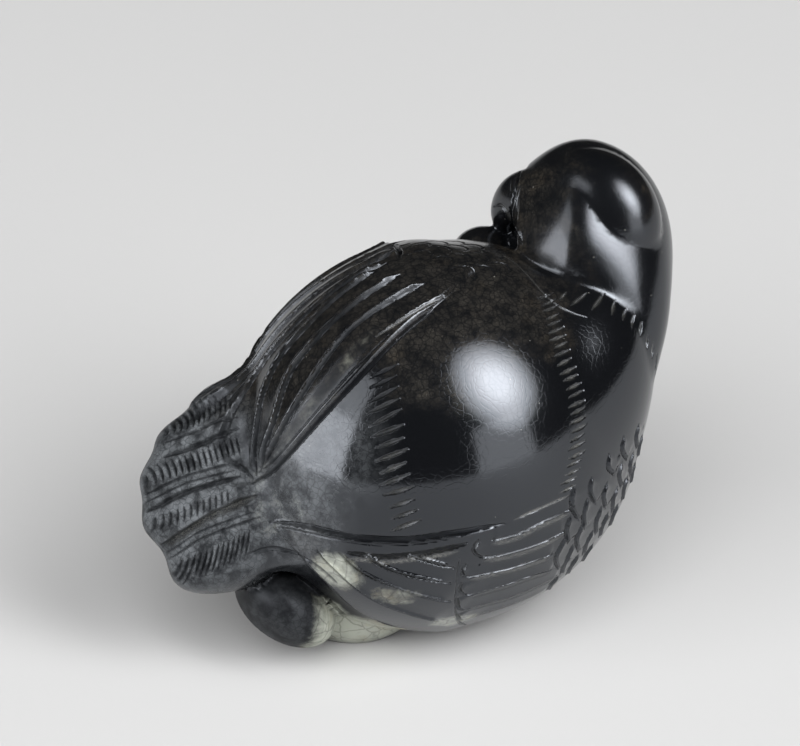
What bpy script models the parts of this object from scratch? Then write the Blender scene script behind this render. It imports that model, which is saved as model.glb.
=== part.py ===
# A bird carved from one block of dark jade, lying on its right side.
# Its back leans to the front, and its head is turned back over the shoulder.
#
# The form is described as a distance function: rounded masses that melt into
# each other. A rough mesh of the masses is pulled onto it, the carving is cut
# into the surface, and the underside is ground flat.
#
# The proportions are written for a bird DRAWN units long, so they keep their
# share of LENGTH. Forward is +X, and the ground is z = 0.

import math

import bmesh
import bpy
import numpy as np
from mathutils import Matrix, Vector

LENGTH = 0.065  # tail tips to the front of the neck
GROUND_OFF = 0.0005  # how much the underside is ground away, so that it stands
WING_RISE = 0.0008  # how far the wings stand above the back
GROOVE_DEPTH = 0.0006  # between two flight feathers
GROOVE_WIDTH = 0.0014
GRID = 0.0005  # spacing of the mesh that the form is worked on
TRIANGLES = 9200  # of the finished solid
SOLE_SLACK = 0.00002  # points this close to the ground lie on it

DRAWN = 65.0
UNIT = LENGTH / DRAWN
LEAN = math.radians(55.0)  # of the back, from upright towards the front

# The bird's own directions: along the body, to its left wing, and out of its back.
FORWARD = np.array((1.0, 0.0, 0.0))
LEFT = np.array((0.0, math.cos(LEAN), math.sin(LEAN)))
DORSAL = np.array((0.0, -math.sin(LEAN), math.cos(LEAN)))

BODY_CENTRE = np.array((0.0, 0.0, 22.8))
BODY_RADII = np.array((24.5, 20.5, 22.8))

# Tail feathers, from the left wing's side to the right: place of the middle as
# forward, left and dorsal, half sizes the same way, turn outwards and rise in degrees.
TAIL_FEATHERS = (
    ((-20.5, 9.5, -2.6), (6.5, 3.0, 3.6), -8, 14),
    ((-23.6, 7.6, -2.5), (8.4, 3.2, 4.6), -4, 18),
    ((-25.2, 4.2, -2.3), (10.3, 3.5, 4.9), -2, 16),
    ((-25.9, 0.2, -2.7), (10.5, 3.2, 4.9), 2, 16),
    ((-25.2, -5.0, -3.2), (9.5, 4.9, 5.2), 10, 18),
)
TAIL_CORE = ((-25.0, 0.3, -3.1), (10.3, 9.6, 5.0), 0, 14)

# The neck: centres and radii, from deep in the breast to the back of the head.
NECK = (
    ((10.6, -6.5, 26.4), 9.2),
    ((17.7, -6.2, 33.6), 6.8),
    ((20.5, -4.1, 38.9), 6.3),
    ((22.4, -1.6, 44.3), 6.1),
)
HEAD_CENTRE = np.array((21.3, 1.3, 44.5))
FACING = (-0.556, 0.753, -0.353)


def unit(vector):
    vector = np.asarray(vector, float)
    return vector / np.linalg.norm(vector)


def axes(forward, up):
    """Rows: forward, the side to its left, and up made square to it."""
    f = unit(forward)
    u = unit(np.asarray(up, float) - f * np.dot(up, f))
    return np.array((f, np.cross(u, f), u))


def in_bird(forward, left, dorsal):
    return BODY_CENTRE + FORWARD * forward + LEFT * left + DORSAL * dorsal


HEAD_AXES = axes(FACING, (0.05, 0.2, 1.0))
SIDE_AXES = axes((0.866, -0.5, 0.0), (0.265, 0.459, 0.848))  # across the shoulder, and up it
NAPE_AXES = axes((0.82, -0.56, -0.12), (0.38, 0.385, 0.84))
FOOT_AXES = axes((0.535, -0.675, -0.508), (0.731, 0.068, 0.679))
THIGH_AXES = axes((0.85, -0.53, -0.05), (0.32, 0.42, 0.85))


def in_head(forward, side, up):
    return HEAD_CENTRE + np.array((forward, side, up)) @ HEAD_AXES


def feather_axes(turn, rise):
    turn, rise = math.radians(turn), math.radians(rise)
    along = FORWARD * math.cos(turn) * math.cos(rise) + LEFT * math.sin(turn) + DORSAL * math.sin(rise)
    return axes(along, DORSAL)


# Each mass: centre, half sizes, axes.
FOOT = (np.array((-18.9, 2.8, 5.6)), (8.0, 5.2, 4.5), FOOT_AXES)
THIGH = (np.array((-11.3, 0.3, 5.4)), (8.5, 7.0, 6.6), THIGH_AXES)
SKULL = (HEAD_CENTRE, (9.3, 7.0, 9.6), HEAD_AXES)
NAPE = (np.array((17.2, 2.3, 42.6)), (7.2, 6.8, 8.4), NAPE_AXES)
FACE_STEP = 0.8  # the face lies this much below the feathers around it
FRUIT = (np.array((12.0, 10.7, 38.6)), (3.3, 3.4, 2.6), HEAD_AXES)

FAR_FOOT = (in_bird(-16.0, 2.5, -15.6), (6.6, 3.9, 3.6), axes(FORWARD + 0.2 * DORSAL, -DORSAL))
FAR_THIGH = (in_bird(-7.0, 5.5, -16.4), (8.0, 5.8, 5.2), axes(FORWARD, -DORSAL))

# Hollows: the shoulder's, which the head lies in, and the one over the foot.
NEST = (np.array((19.2, -0.1, 45.5)), (10.4, 10.0, 10.2), SIDE_AXES)
FOOT_HOLLOW = (np.array((-21.7, -2.0, 9.0)), (8.8, 9.0, 5.5), FOOT_AXES)

# The upper beak and the lower one, in the head's own directions, with radii.
UPPER_BEAK = (((4.5, 0, 2.4), 4.6), ((8.0, 0, 3.7), 2.95), ((10.2, 0, 2.7), 1.95),
              ((11.2, 0, 1.5), 1.15), ((11.7, 0, 0.4), 0.55))
LOWER_BEAK = (((6.0, 0, -2.6), 3.2), ((9.0, 0, -2.0), 1.9), ((10.5, 0, -1.3), 1.0))
EYES = ((7.3, 2.9, 3.7), (7.3, -2.9, 3.7))
EYE = (1.1, 0.6, 1.1)  # half sizes


def ellipsoid(p, mass):
    centre, radii, turned = mass
    q = (p - centre) @ turned.T
    radii = np.asarray(radii, float)
    near = np.sqrt(((q / radii) ** 2).sum(-1))
    slope = np.sqrt(((q / radii ** 2) ** 2).sum(-1)) + 1e-9
    return near * (near - 1) / slope


def join(a, b, melt):
    h = np.clip(0.5 + 0.5 * (b - a) / melt, 0, 1)
    return b * (1 - h) + a * h - melt * h * (1 - h)


def hollow(a, b, melt):
    return -join(-a, b, melt)


def bent(joints, steps=5):
    """More joints along the same limb, so that it bends smoothly through them."""
    knots = np.array([(*place, radius) for place, radius in joints])
    ends = np.vstack([2 * knots[0] - knots[1], knots, 2 * knots[-1] - knots[-2]])
    run = []
    for a, b, c, d in zip(ends, ends[1:], ends[2:], ends[3:]):
        for t in np.arange(steps) / steps:
            run.append(0.5 * (2 * b + (c - a) * t + (2 * a - 5 * b + 4 * c - d) * t ** 2
                              + (3 * b - a - 3 * c + d) * t ** 3))
    run.append(knots[-1])
    return [(row[:3], row[3]) for row in run]


def limb(p, joints, melt):
    """Balls at the joints, all melted into one."""
    gaps = np.stack([np.linalg.norm(p - place, axis=1) - radius for place, radius in joints])
    nearest = gaps.min(0)
    return nearest - melt * np.log(np.exp((nearest - gaps) / melt).sum(0))


def tail_mass(feather):
    middle, radii, turn, rise = feather
    return in_bird(*middle), radii, feather_axes(turn, rise)


def beak(joints):
    return bent([(in_head(*place), radius) for place, radius in joints])


# The hood of feathers ends on this plane, and the face begins a step below it.
HOOD_EDGE = np.array((13.6, 4.3, 47.2))
HOOD_OUT = unit((-0.733, 0.667, -0.132))


def form(p):
    """Distance to the blank's surface in drawn units, negative inside."""
    body = ellipsoid(p, (BODY_CENTRE, BODY_RADII, np.eye(3)))
    neck = limb(p, bent(NECK), 0.5)
    skull = join(join(neck, ellipsoid(p, SKULL), 1.0), ellipsoid(p, NAPE), 0.5)
    hood = hollow(skull, -((p - HOOD_EDGE) @ HOOD_OUT), 0.3)
    head = join(hood, skull + FACE_STEP, 0.2)
    head = join(head, limb(p, beak(UPPER_BEAK), 0.15), 0.8)
    head = join(head, limb(p, beak(LOWER_BEAK), 0.15), 0.5)
    for eye in EYES:
        head = join(head, ellipsoid(p, (in_head(*eye), EYE, HEAD_AXES)), 0.15)
    trunk = hollow(body, ellipsoid(p, FOOT_HOLLOW), 0.6)
    trunk = hollow(trunk, ellipsoid(p, NEST), 0.6)
    trunk = join(trunk, neck, 5.0)
    tail = ellipsoid(p, tail_mass(TAIL_CORE))
    for feather in TAIL_FEATHERS:
        tail = join(tail, ellipsoid(p, tail_mass(feather)), 0.8)
    d = join(trunk, head, 0.4)
    d = join(d, ellipsoid(p, FRUIT), 0.8)
    d = join(d, tail, 4.0)
    for foot, thigh in ((FOOT, THIGH), (FAR_FOOT, FAR_THIGH)):
        d = join(d, ellipsoid(p, foot), 0.4)
        d = join(d, ellipsoid(p, thigh), 0.8)
    return d


def outwards(p):
    """The direction out of the stone, from the distance a little either side."""
    h = 0.05
    slope = np.stack([form(p + h * e) - form(p - h * e) for e in np.eye(3)], 1)
    return slope / (np.linalg.norm(slope, axis=1)[:, None] + 1e-12)


# The carving is laid out on a chart of the back: arc lengths forward and to the
# left of its middle, as if paper were smoothed over the body.
ARC = 22.0  # chart units to a radian


def chart(p):
    q = (p - BODY_CENTRE) / BODY_RADII
    q = q / (np.linalg.norm(q, axis=1)[:, None] + 1e-9)
    along, aside = q @ FORWARD, q @ LEFT
    arc = ARC * np.arccos(np.clip(q @ DORSAL, -1, 1)) / (np.hypot(along, aside) + 1e-9)
    return np.stack([along * arc, aside * arc], 1)


def bow(start, pull, end, steps=8):
    """A bent line from start to end, drawn towards pull."""
    t = np.linspace(0, 1, steps + 1)[:, None]
    start, pull, end = (np.asarray(v, float) for v in (start, pull, end))
    return (1 - t) ** 2 * start + 2 * t * (1 - t) * pull + t ** 2 * end


def gap(places, line):
    """Distance from each place to a line of points."""
    found = np.full(len(places), 1e3)
    for a, b in zip(line[:-1], line[1:]):
        a, b = np.asarray(a, float), np.asarray(b, float)
        along = np.clip(((places - a) @ (b - a)) / ((b - a) @ (b - a) + 1e-12), 0, 1)
        found = np.minimum(found, np.linalg.norm(places - (a + along[:, None] * (b - a)), axis=1))
    return found


def within(places, outline):
    """True inside a closed outline."""
    x, y = places.T
    found = np.zeros(len(places), bool)
    for (xa, ya), (xb, yb) in zip(outline, outline[1:] + outline[:1]):
        crosses = (ya > y) != (yb > y)
        found ^= crosses & (x < xa + (y - ya) * (xb - xa) / (yb - ya + 1e-12))
    return found


def ease(x):
    x = np.clip(x, 0, 1)
    return x * x * (3 - 2 * x)


# Wing outlines on the chart. Both begin at the tip, over the tail, and run
# forward along the edge towards the middle of the back.
LEFT_WING = [(-31.5, 1.4), (-26.4, 3.0), (-17.6, 7.8), (-8.7, 12.6), (-2.8, 15.1), (3.0, 18.0), (7.0, 23.0),
             (6.0, 30.0), (-2.0, 35.0), (-14.0, 36.0), (-24.0, 31.0), (-31.0, 23.0), (-34.5, 14.0), (-34.0, 6.0)]
RIGHT_WING = [(-30.0, -5.5), (-24.8, -7.6), (-20.0, -9.9), (-14.5, -11.5), (-8.7, -12.4), (-3.8, -13.1),
              (2.9, -12.6), (7.0, -11.5), (12.0, -12.5), (14.5, -17.0), (14.0, -24.0), (9.0, -31.0), (0.0, -35.0),
              (-9.0, -34.0), (-15.0, -30.7), (-20.9, -25.1), (-25.3, -16.8), (-27.5, -13.0), (-28.7, -9.6)]
SHOULDER = (1.0, 7.0)  # forward of this the wings sink back into the body
ELBOW = -8.2  # where the long feathers of the right wing start from under the short ones


def left_feathers():
    lines = []
    for k in range(4):
        lines.append(bow((-3.2 - 0.8 * k, 18.0 + 2.4 * k), (-17.5 - 5.6 * k, 16.5 + 2.4 * k),
                         (-26.8 - 1.8 * k, 5.2 - 0.5 * k)))
    for k in range(2):
        lines.append(bow((-6.4 - 0.8 * k, 27.6 + 2.9 * k), (-30.0 + 3.0 * k, 28.0 + 4.0 * k),
                         (-34.0 + k, 14.0 + 6.0 * k)))
    return lines


def right_feathers():
    lines = []
    for k in range(5):
        start = (-13.0 - 15.7 * (k / 4) ** 0.8, -13.9 + 4.3 * k / 4)
        end = (ELBOW, -16.8 - 2.2 * k - 0.35 * k * k)
        lines.append(bow(start, (start[0] + 3.0, start[1] + 0.6 * (end[1] - start[1])), end))
    rows = [-12.6 - 1.9 * k - 0.17 * k * k for k in range(7)]
    for row in rows:
        lines.append(bow((ELBOW, row), (-1.5, row - 0.6), (5.0, row + 0.2)))
    for near, far in zip(rows, rows[1:]):
        lines.append(bow((ELBOW, near), (ELBOW - 2.2, (near + far) / 2), (ELBOW, far), 4))
    return lines


def relief(p):
    """Height of the carving over the blank, in drawn units."""
    places = chart(p)
    rise, depth, width = WING_RISE / UNIT, GROOVE_DEPTH / UNIT, GROOVE_WIDTH / UNIT
    height = np.zeros(len(p))
    sinks = 1 - ease((places[:, 0] - SHOULDER[0]) / (SHOULDER[1] - SHOULDER[0]))
    on_body = ease((p[:, 0] + 27.5) / 2.0) * sinks
    for outline, feathers in ((LEFT_WING, left_feathers()), (RIGHT_WING, right_feathers())):
        edge = gap(places, outline + outline[:1])
        inside = within(places, outline)
        depth_in = np.where(inside, edge, -edge)
        height += rise * ease(0.5 + depth_in / width) * on_body
        nearest = np.full(len(p), 1e3)
        for line in feathers:
            nearest = np.minimum(nearest, gap(places, line))
        cut = depth * np.exp(-((nearest / width) ** 2) * 3)
        cut += 0.6 * depth * np.exp(-(((depth_in + 0.4 * width) / width) ** 2) * 4)
        height -= cut * on_body * ease(1 + depth_in / width)
    return height


def masses_object(name, masses):
    """An object of closed balls, one for each mass."""
    shape = bmesh.new()
    for centre, radii, turned in masses:
        place = Matrix.Translation(Vector(centre)) @ Matrix(turned.T).to_4x4() @ Matrix.Diagonal((*radii, 1.0))
        bmesh.ops.create_icosphere(shape, subdivisions=4, radius=1.0, matrix=place)
    return shape_object(name, shape)


def shape_object(name, shape):
    mesh = bpy.data.meshes.new(name)
    shape.to_mesh(mesh)
    shape.free()
    thing = bpy.data.objects.new(name, mesh)
    bpy.context.scene.collection.objects.link(thing)
    return thing


def balls(joints):
    return [(place, (radius, radius, radius), np.eye(3)) for place, radius in joints]


def finished(thing):
    """The object's mesh with its modifiers, as a bmesh, and the object removed."""
    bpy.context.view_layer.update()
    graph = bpy.context.evaluated_depsgraph_get()
    mesh = bpy.data.meshes.new_from_object(thing.evaluated_get(graph))
    bpy.data.objects.remove(thing)
    shape = bmesh.new()
    shape.from_mesh(mesh)
    bpy.data.meshes.remove(mesh)
    return shape


def skinned(thing, grid):
    """One closed skin over all the balls of an object."""
    skin = thing.modifiers.new("skin", "REMESH")
    skin.mode, skin.voxel_size = "VOXEL", grid
    return finished(thing)


def rough_trunk():
    trunk = masses_object("trunk", [(BODY_CENTRE, BODY_RADII, np.eye(3))])
    cutters = []
    for name, mass in (("nest", NEST), ("foot_hollow", FOOT_HOLLOW)):
        cutters.append(masses_object(name, [mass]))
        cut = trunk.modifiers.new(name, "BOOLEAN")
        cut.operation, cut.object = "DIFFERENCE", cutters[-1]
    shape = finished(trunk)
    for cutter in cutters:
        bpy.data.objects.remove(cutter)
    return shape


def rough_hood(grid):
    hood = skinned(masses_object("hood", balls(bent(NECK)) + [SKULL, NAPE]), grid)
    cut = bmesh.ops.bisect_plane(hood, geom=hood.verts[:] + hood.edges[:] + hood.faces[:],
                                 plane_co=HOOD_EDGE, plane_no=HOOD_OUT, clear_outer=True)
    rim = [part for part in cut["geom_cut"] if isinstance(part, bmesh.types.BMEdge)]
    bmesh.ops.holes_fill(hood, edges=rim)
    bmesh.ops.triangulate(hood, faces=hood.faces)
    return hood


def rough_blank():
    """All the masses as one closed skin, close to the form but not on it yet."""
    grid = GRID / UNIT
    masses = [FRUIT, FOOT, THIGH, FAR_FOOT, FAR_THIGH, tail_mass(TAIL_CORE)]
    masses += [tail_mass(feather) for feather in TAIL_FEATHERS]
    masses += balls(beak(UPPER_BEAK)) + balls(beak(LOWER_BEAK))
    parts = [finished(masses_object("masses", masses)), rough_trunk(), rough_hood(grid)]
    whole = bmesh.new()
    for part in parts:
        mesh = bpy.data.meshes.new("part")
        part.to_mesh(mesh)
        whole.from_mesh(mesh)
        bpy.data.meshes.remove(mesh)
        part.free()
    return skinned(shape_object("whole", whole), grid)


def pull_onto_form(shape, rounds=6):
    """Moves the skin's points onto the form and evens them out along it."""
    count = len(shape.verts)
    p = np.array([v.co for v in shape.verts])
    ends = np.array([[v.index for v in edge.verts] for edge in shape.edges])
    links = np.bincount(ends.ravel(), minlength=count)[:, None]
    for turn in range(rounds):
        for _ in range(3):
            p = p - outwards(p) * np.clip(form(p), -0.8, 0.8)[:, None]
        if turn < rounds - 1:
            total = np.stack([np.bincount(ends[:, 0], p[ends[:, 1], i], count)
                              + np.bincount(ends[:, 1], p[ends[:, 0], i], count) for i in range(3)], 1)
            drift = total / links - p
            out = outwards(p)
            p = p + 0.6 * (drift - out * (drift * out).sum(1)[:, None])
    return p


def jade(name):
    material = bpy.data.materials.new(name)
    material.use_nodes = True
    shader = material.node_tree.nodes["Principled BSDF"]
    shader.inputs["Base Color"].default_value = (0.016, 0.017, 0.016, 1.0)
    shader.inputs["Roughness"].default_value = 0.14
    shader.inputs["Metallic"].default_value = 0.0
    return material


def ground_flat(shape):
    """Cuts the underside level and puts the origin under the middle of the box."""
    cut = bmesh.ops.bisect_plane(shape, geom=shape.verts[:] + shape.edges[:] + shape.faces[:], dist=1e-6,
                                 plane_co=(0, 0, GROUND_OFF), plane_no=(0, 0, -1), clear_outer=True)
    rim = [part for part in cut["geom_cut"] if isinstance(part, bmesh.types.BMEdge)]
    bmesh.ops.holes_fill(shape, edges=rim)
    bmesh.ops.triangulate(shape, faces=shape.faces)
    lows = [min(v.co[i] for v in shape.verts) for i in range(2)]
    highs = [max(v.co[i] for v in shape.verts) for i in range(2)]
    middle = Vector(((lows[0] + highs[0]) / 2, (lows[1] + highs[1]) / 2, GROUND_OFF))
    bmesh.ops.translate(shape, verts=shape.verts, vec=-middle)


def carve_bird():
    shape = rough_blank()
    p = pull_onto_form(shape)
    p = (p + outwards(p) * relief(p)[:, None]) * UNIT
    for vertex, place in zip(shape.verts, p):
        vertex.co = place
    ground_flat(shape)
    ratio = TRIANGLES / len(shape.faces)
    fine = shape_object("fine", shape)
    facets = fine.modifiers.new("facets", "DECIMATE")
    facets.ratio = ratio
    shape = finished(fine)
    for vertex in shape.verts:
        if vertex.co.z < SOLE_SLACK:
            vertex.co.z = 0.0
    bmesh.ops.triangulate(shape, faces=shape.faces)
    bmesh.ops.recalc_face_normals(shape, faces=shape.faces)
    bird = shape_object("parrot_carving", shape)
    bird.data.materials.append(jade("dark_jade"))
    bird.data.shade_smooth()


for thing in list(bpy.data.objects):
    bpy.data.objects.remove(thing)
carve_bird()
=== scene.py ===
import math

import bmesh
import bpy
import numpy as np
from mathutils import Matrix, Vector


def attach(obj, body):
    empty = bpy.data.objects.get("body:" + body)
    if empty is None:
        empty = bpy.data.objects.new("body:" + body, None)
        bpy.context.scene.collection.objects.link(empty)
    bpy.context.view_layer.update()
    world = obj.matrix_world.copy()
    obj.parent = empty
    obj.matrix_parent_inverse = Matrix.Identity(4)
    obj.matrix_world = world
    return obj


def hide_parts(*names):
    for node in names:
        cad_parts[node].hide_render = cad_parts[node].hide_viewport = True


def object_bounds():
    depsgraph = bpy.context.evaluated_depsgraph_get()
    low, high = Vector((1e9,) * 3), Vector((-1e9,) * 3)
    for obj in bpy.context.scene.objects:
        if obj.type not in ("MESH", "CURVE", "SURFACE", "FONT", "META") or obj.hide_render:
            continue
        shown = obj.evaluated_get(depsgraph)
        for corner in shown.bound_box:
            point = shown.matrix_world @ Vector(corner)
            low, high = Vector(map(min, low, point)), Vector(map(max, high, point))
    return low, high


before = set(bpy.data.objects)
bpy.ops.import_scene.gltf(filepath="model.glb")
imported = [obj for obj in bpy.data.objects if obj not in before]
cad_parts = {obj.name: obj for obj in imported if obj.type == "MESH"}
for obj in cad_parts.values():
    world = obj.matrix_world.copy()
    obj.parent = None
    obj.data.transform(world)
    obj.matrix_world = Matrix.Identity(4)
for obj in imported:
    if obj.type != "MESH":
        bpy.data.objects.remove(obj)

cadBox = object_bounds()
# the middle of the solid's box, on the ground
standing = np.array([(low + high) / 2 for low, high in zip(*cadBox)][:2] + [cadBox[0][2]])
print("frame loaded:", [round((high - low) * 1000, 1) for low, high in zip(*cadBox)], "mm")


def unitVector(vector):
    vector = np.asarray(vector, float)
    return vector / np.linalg.norm(vector)


def axesOf(forward, up):
    f = unitVector(forward)
    u = unitVector(np.asarray(up, float) - f * np.dot(up, f))
    return np.array((f, np.cross(u, f), u))


# The bird's own directions: along the body, to its left wing, and out of its back,
# which leans over to the front.
lean = math.radians(55.0)
forwardWay = np.array((1.0, 0.0, 0.0))
leftWay = np.array((0.0, math.cos(lean), math.sin(lean)))
backWay = np.array((0.0, -math.sin(lean), math.cos(lean)))

# Everything about the bird is drawn in millimetres, standing on z = 0.
bird = {
    "bodyCentre": np.array((0.0, 0.0, 22.8)),
    "bodyRadii": np.array((24.5, 20.5, 22.8)),
    "headCentre": np.array((21.3, 1.3, 44.5)),
    "headAxes": axesOf((-0.556, 0.753, -0.353), (0.05, 0.2, 1.0)),
    "groundOff": 0.5,       # ground away under the bird, so that it stands
    "faceStep": 1.0,        # the face lies this much below the feathers around it
    "hoodShrinks": 0.45,    # the melting swells the hood, and this is taken off again
    "cheekStandsOut": 0.95, # of its ball
    "neckSinks": 0.6,       # below the trunk's skin where the two meet
    "faceReach": 17.0,      # nothing of the face lies farther from the head's middle
    "skinSpacing": 0.66,    # of the mesh where the stone is smooth
    # finer steps of the mesh: edge length, and how close to a cut it begins
    "meshSteps": ((0.34, 0.55), (0.17, 0.16)),
    "crease": 16.0,         # degrees, and sharper bends of the skin get the finer steps too
    "slopeReach": 0.03,     # over which the carving's slope is taken
    # how widely the masses run into one another
    "melts": {"neckColumn": 3.2, "neck": 1.0, "limb": 0.5, "beak": 0.15, "upperBeak": 0.8, "lowerBeak": 0.5,
              "eye": 0.15, "cheek": 1.5, "cheekEnd": 3.0, "skull": 3.0, "hoodEdge": 0.25, "face": 0.2,
              "footHollow": 0.4, "shoulderHollow": 0.6, "breast": 2.4, "neckFoot": 0.7, "feather": 1.8,
              "head": 0.7, "fruit": 0.8, "tail": 3.0, "foot": 0.25},
}

footAxes = axesOf((0.534, -0.675, -0.509), (0.731, 0.067, 0.679))
thighAxes = axesOf((0.85, -0.53, -0.05), (0.32, 0.42, 0.85))
# Across and up in the picture that the camera takes.
viewAcross = (0.866, -0.5, 0.0)
viewUp = (0.265, 0.459, 0.848)


def inBird(forward, left, back):
    return bird["bodyCentre"] + forwardWay * forward + leftWay * left + backWay * back


def inHead(forward, side, up):
    return bird["headCentre"] + np.array((forward, side, up)) @ bird["headAxes"]


def featherMass(middle, halfSizes, turn, rise):
    turn, rise = math.radians(turn), math.radians(rise)
    along = forwardWay * math.cos(turn) * math.cos(rise) + leftWay * math.sin(turn) + backWay * math.sin(rise)
    return inBird(*middle), halfSizes, axesOf(along, backWay)


def sweep(points, steps=4, closed=False):
    # a smooth line through a few points
    points = [np.asarray(point, float) for point in points]
    if closed:
        ends = [points[-1]] + points + points[:2]
    else:
        ends = [2 * points[0] - points[1]] + points + [2 * points[-1] - points[-2]]
    run = []
    for a, b, c, d in zip(ends, ends[1:], ends[2:], ends[3:]):
        for t in np.arange(steps) / steps:
            run.append(0.5 * (2 * b + (c - a) * t + (2 * a - 5 * b + 4 * c - d) * t ** 2
                              + (3 * b - a - 3 * c + d) * t ** 3))
    run.append(points[0] if closed else points[-1])
    return np.array(run)


def bent(joints):
    # more joints along the same limb, so that it bends smoothly through them
    return [(row[:3], row[3]) for row in sweep([(*place, radius) for place, radius in joints], 5)]


# Masses of stone: centre, half sizes, axes.
mass = {
    "body": (bird["bodyCentre"], bird["bodyRadii"], np.eye(3)),
    "skull": ((20.9, 2.9, 42), (10.6, 10.6, 10.6), np.eye(3)),
    # the broad cheek is a piece of this one's skin
    "cheek": ((38.5, 4.5, 31.3), (29, 29, 23.5), axesOf(viewAcross, viewUp)),
    "face": (bird["headCentre"], (9.3, 7, 9.6), bird["headAxes"]),
    "neckFront": ((21.9, 0.4, 41.4), (7.4, 7.2, 12.2), axesOf((0.937, -0.322, 0.139), (0.076, 0.572, 0.817))),
    "neckLow": ((20.1, -2.6, 36.8), (7.8, 6.65, 13.4), axesOf((0.912, -0.402, 0.076), (0.195, 0.59, 0.784))),
    "breast": ((14.3, -3.8, 29.1), (10.7, 12, 13.3), axesOf((0.806, -0.572, -0.153), (0.37, 0.285, 0.884))),
    "fruit": ((12, 10.7, 38.6), (3.3, 3.4, 2.6), bird["headAxes"]),
    "foot": ((-21, -1.5, 7.6), (6.5, 8, 4.3), footAxes),
    "thigh": ((-11.3, 0.3, 5.4), (8.5, 7, 6.6), thighAxes),
    "farFoot": (inBird(-16, 2.5, -15.6), (6.6, 3.9, 3.6), axesOf(forwardWay + 0.2 * backWay, -backWay)),
    "farThigh": (inBird(-7, 5.5, -16.4), (8, 5.8, 5.2), axesOf(forwardWay, -backWay)),
    "tailCore": featherMass((-25, 0.3, -3.1), (10.5, 9.8, 5.5), 0, 14),
    "shoulderHollow": ((18.5, 0, 48.4), (8.7, 10.5, 9.5), axesOf((0.856, -0.5, 0.131), (0.182, 0.528, 0.829))),
    "footHollow": ((-20.9, -1.4, 8.2), (7.3, 9, 5.1), footAxes),
    "eyes": [(inHead(7.3, side, 3.7), (1.1, 0.6, 1.1), bird["headAxes"]) for side in (2.9, -2.9)],
    "tailFeathers": [
        featherMass((-20.5, 9.5, -2.6), (6.5, 3, 3.6), -8, 14),
        featherMass((-23.6, 7.6, -2.5), (8.4, 3.2, 4.6), -4, 18),
        featherMass((-25.2, 4.2, -2.3), (9.8, 3.5, 4.9), -2, 16),
        featherMass((-25.9, 0.2, -2.7), (10, 3.2, 4.9), 2, 16),
        featherMass((-25.2, -5, -3.2), (9.5, 4.9, 5.2), 10, 18),
    ],
}

# Limbs: joints and radii.
limb = {
    "neck": bent([((17.3, -1.7, 29.6), 6.5), ((19.8, -0.9, 35.4), 6.5), ((22.4, 3.1, 43.1), 6)]),
    "upperBeak": bent([(inHead(4.5, 0, 2.4), 4.6), (inHead(8, 0, 3.7), 2.95), (inHead(10.2, 0, 2.7), 1.95),
                       (inHead(11.2, 0, 1.5), 1.15), (inHead(11.7, 0, 0.4), 0.55)]),
    "lowerBeak": bent([(inHead(6, 0, -2.6), 3.2), (inHead(9, 0, -2), 1.9), (inHead(10.5, 0, -1.3), 1)]),
}

# The hood of feathers ends on this plane, and the face begins a step below it.
hoodEdge = (13.2, 4.6, 47.1)
hoodOut = unitVector((-0.733, 0.667, -0.132))
# The cheek ends in a ridge over the neck, where this plane cuts it off.
cheekEnd = (17.9, -5.7, 46.6)
cheekOut = unitVector((0.297, -0.813, 0.501))


def ballGap(p, one):
    centre, halfSizes, turned = one
    q = (p - centre) @ turned.T
    halfSizes = np.asarray(halfSizes, float)
    near = np.sqrt(((q / halfSizes) ** 2).sum(-1))
    slope = np.sqrt(((q / halfSizes ** 2) ** 2).sum(-1)) + 1e-9
    return near * (near - 1) / slope


def melt(a, b, soft):
    h = np.clip(0.5 + 0.5 * (b - a) / soft, 0, 1)
    return b * (1 - h) + a * h - soft * h * (1 - h)


def hollowOut(a, b, soft):
    return -melt(-a, b, soft)


def limbGap(p, joints, soft):
    gaps = np.stack([np.linalg.norm(p - place, axis=1) - radius for place, radius in joints])
    nearest = gaps.min(0)
    return nearest - soft * np.log(np.exp((nearest - gaps) / soft).sum(0))


def within(a, b, soft):
    return -melt(-a, -b, soft)


def neckGap(p):
    melts = bird["melts"]
    column = melt(ballGap(p, mass["neckFront"]), ballGap(p, mass["neckLow"]), melts["neckColumn"])
    return melt(limbGap(p, limb["neck"], melts["limb"]), column, melts["neck"])


def faceGap(p):
    # only worked out near the head, as it is far from everything else
    melts = bird["melts"]
    apart = np.linalg.norm(p - bird["headCentre"], axis=1) - bird["faceReach"]
    gap = apart + 3.0
    near = apart < 0
    q = p[near]
    face = ballGap(q, mass["face"]) + bird["faceStep"]
    for beak in ("upperBeak", "lowerBeak"):
        face = melt(face, limbGap(q, limb[beak], melts["beak"]), melts[beak])
    for eye in mass["eyes"]:
        face = melt(face, ballGap(q, eye), melts["eye"])
    gap[near] = face
    return gap


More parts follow.
